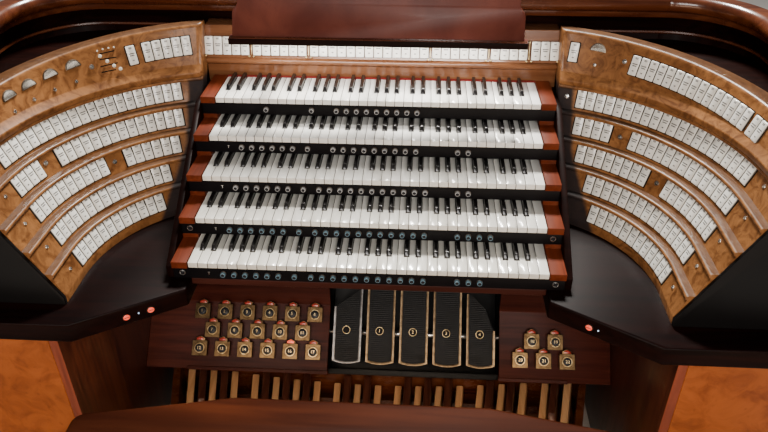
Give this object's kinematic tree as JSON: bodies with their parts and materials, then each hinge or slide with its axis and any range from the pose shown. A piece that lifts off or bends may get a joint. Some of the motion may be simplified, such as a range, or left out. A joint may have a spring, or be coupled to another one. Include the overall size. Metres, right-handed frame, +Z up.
{
  "type": "pipe organ console",
  "caption": "Detached organ console with stacked manuals, curved terraced stop-tablet jambs, music desk, swell shoes, toe studs, radiating concave pedalboard and bench.",
  "frame": {"origin": "centre of the bounding box, on the floor", "axes": "+X to the player's right along the keyboards, +Y from the player towards the case back, +Z up"},
  "size_m": [1.994, 1.197, 1.5329],
  "materials": {
    "mahogany": "polished dark red mahogany",
    "burl_walnut": "polished golden-brown burl",
    "black_wood": "near-black lacquer",
    "cheek_wood": "satin terracotta red-brown",
    "key_white": "polished ivory white",
    "key_black": "polished black",
    "tablet": "polished off-white",
    "piston": "grey-white with a dark centre",
    "meter": "softly lit window",
    "stud_brass": "worn polish",
    "shoe_rubber": "ribbed dark grey mat with metal trim",
    "steel": "turned",
    "maple": "light tan, worn satin",
    "pedal_dark": "dark brown, satin",
    "lamp_red": "lit red"
  },
  "bodies": {
    "console": {"case_back": "mahogany", "case_side_left": "mahogany", "case_side_right": "mahogany", "top_rail_back": "mahogany", "top_rail_left": "mahogany", "top_rail_right": "mahogany", "front_panel_left": "burl_walnut", "front_panel_right": "burl_walnut", "knee_wall_left": "mahogany", "knee_wall_right": "mahogany", "kneeboard": "mahogany", "toe_board": "mahogany", "shoe_recess_back": "black_wood", "shoe_recess_sides": "black_wood", "key_desk": "mahogany", "arm_left": "mahogany", "arm_right": "mahogany", "key_frames": "black_wood", "key_cheeks": "cheek_wood", "key_stringers": "mahogany", "manual_1_naturals": "key_white", "manual_2_naturals": "key_white", "manual_3_naturals": "key_white", "manual_4_naturals": "key_white", "manual_5_naturals": "key_white", "manual_1_sharps": "key_black", "manual_2_sharps": "key_black", "manual_3_sharps": "key_black", "manual_4_sharps": "key_black", "manual_5_sharps": "key_black", "thumb_pistons": "piston", "coupler_rail": "mahogany", "coupler_tablets": "tablet", "upper_deck": "mahogany", "jamb_left": "burl_walnut", "jamb_right": "burl_walnut", "jamb_ends": "black_wood", "stop_tablets_left": "tablet", "stop_tablets_right": "tablet", "swell_meters": "meter", "music_desk": "mahogany", "desk_brackets": "mahogany", "toe_studs": "stud_brass", "shoe_shaft": "steel", "pedal_frame": "mahogany", "pedal_naturals": "maple", "pedal_sharps": "pedal_dark", "bench_seat": "mahogany", "bench_frame": "mahogany", "arm_buttons": "lamp_red"},
    "shoe_1": {"swell_shoe_1": "shoe_rubber"},
    "shoe_2": {"swell_shoe_2": "shoe_rubber"},
    "shoe_3": {"swell_shoe_3": "shoe_rubber"},
    "shoe_4": {"swell_shoe_4": "shoe_rubber"},
    "shoe_5": {"swell_shoe_5": "shoe_rubber"}
  },
  "joints": [
    {"name": "swell_shoe_1_hinge", "type": "hinge", "parent": "console", "child": "shoe_1", "pos_m": [-0.087, 0.26598, 0.3672], "axis": [-1, 0, 0], "range_deg": [0, 22]},
    {"name": "swell_shoe_2_hinge", "type": "hinge", "parent": "console", "child": "shoe_2", "pos_m": [0.013, 0.26598, 0.3672], "axis": [-1, 0, 0], "range_deg": [0, 22]},
    {"name": "swell_shoe_3_hinge", "type": "hinge", "parent": "console", "child": "shoe_3", "pos_m": [0.113, 0.26598, 0.3672], "axis": [-1, 0, 0], "range_deg": [0, 22]},
    {"name": "swell_shoe_4_hinge", "type": "hinge", "parent": "console", "child": "shoe_4", "pos_m": [0.213, 0.26598, 0.3672], "axis": [-1, 0, 0], "range_deg": [0, 22]},
    {"name": "swell_shoe_5_hinge", "type": "hinge", "parent": "console", "child": "shoe_5", "pos_m": [0.313, 0.26598, 0.3672], "axis": [-1, 0, 0], "range_deg": [0, 22]}
  ]
}
